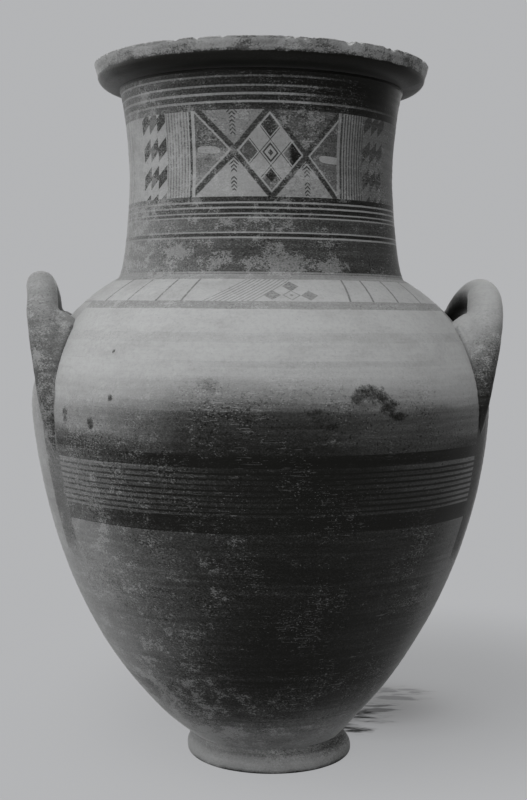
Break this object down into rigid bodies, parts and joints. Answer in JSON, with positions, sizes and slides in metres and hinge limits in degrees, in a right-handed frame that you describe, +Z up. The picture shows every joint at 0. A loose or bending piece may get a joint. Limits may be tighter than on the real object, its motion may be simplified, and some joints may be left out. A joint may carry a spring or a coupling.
{
  "type": "two-handled jar",
  "caption": "Large painted clay storage jar with a ring foot, wide belly, tall neck, heavy lip and a horseshoe handle on each side of the shoulder",
  "frame": {"origin": "centre of the ring-shaped face that the jar stands on", "axes": "+Z up along the jar's axis, +X through the middle of the right handle, -Y towards the painted front"},
  "size_m": [0.5541, 0.531, 0.8],
  "materials": {
    "painted_clay": "matte",
    "bare_clay": "matte",
    "worn_clay": "matte"
  },
  "bodies": {
    "root": {"foot_ring": "bare_clay", "lower_body": "painted_clay", "upper_body": "painted_clay", "neck": "painted_clay", "rim": "bare_clay", "handle_right": "worn_clay", "handle_left": "worn_clay"}
  },
  "joints": []
}
